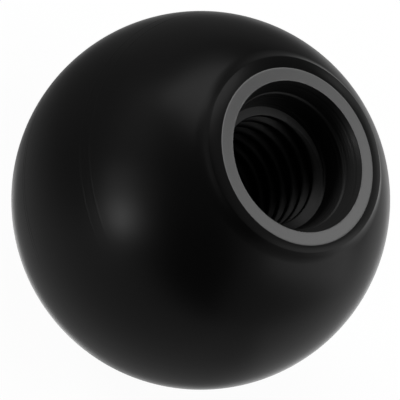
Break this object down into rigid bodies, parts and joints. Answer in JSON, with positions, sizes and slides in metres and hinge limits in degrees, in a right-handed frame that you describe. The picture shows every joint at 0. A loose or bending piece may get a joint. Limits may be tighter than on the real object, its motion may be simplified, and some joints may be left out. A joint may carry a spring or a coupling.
{
  "type": "ball knob",
  "caption": "Black moulded ball knob with a low flat collar round a blind threaded hole on its axis.",
  "frame": {"origin": "lowest point of the ball, on the hole's axis", "axes": "+Z along the hole's axis, out of its mouth; the knob is round about Z, so X and Y point anywhere"},
  "size_m": [0.03, 0.03, 0.0285],
  "materials": {
    "black_plastic": "satin black moulding, with a dull grey machined ring round the hole"
  },
  "bodies": {
    "root": {"ball_knob": "black_plastic"}
  },
  "joints": []
}
